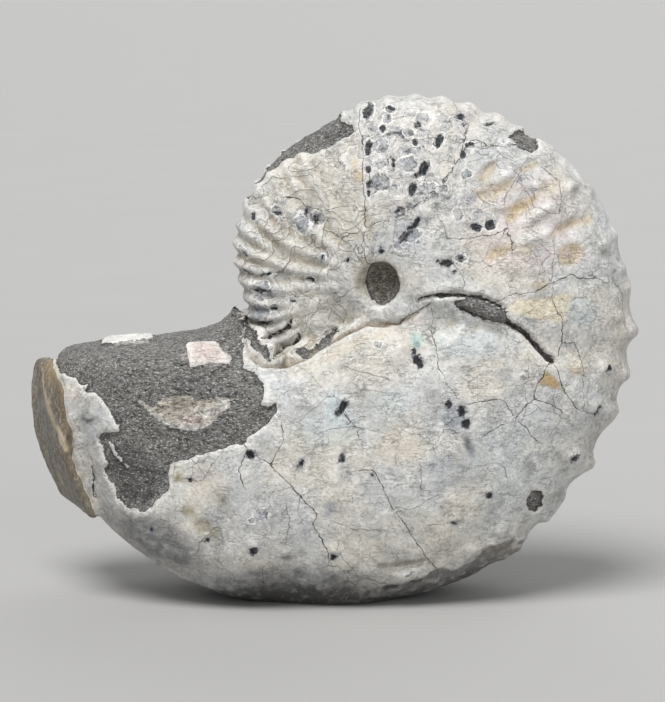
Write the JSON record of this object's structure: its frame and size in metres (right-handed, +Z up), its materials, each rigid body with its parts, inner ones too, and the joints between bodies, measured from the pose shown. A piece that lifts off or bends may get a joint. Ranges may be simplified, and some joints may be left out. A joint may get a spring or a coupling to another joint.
{
  "type": "ammonite fossil",
  "caption": "Ribbed coiled ammonite fossil with a swollen body chamber, bare rock at its broken end and a worn-flat underside that it stands on.",
  "frame": {"origin": "middle of the bounding box in plan, on the resting face", "axes": "+X along the fossil towards the side away from its broken end, -Y out of the better-preserved flank, +Z up"},
  "size_m": [0.1178, 0.041, 0.0975],
  "materials": {
    "fossil": "satin"
  },
  "bodies": {
    "root": {"ammonite_fossil": "fossil"}
  },
  "joints": []
}
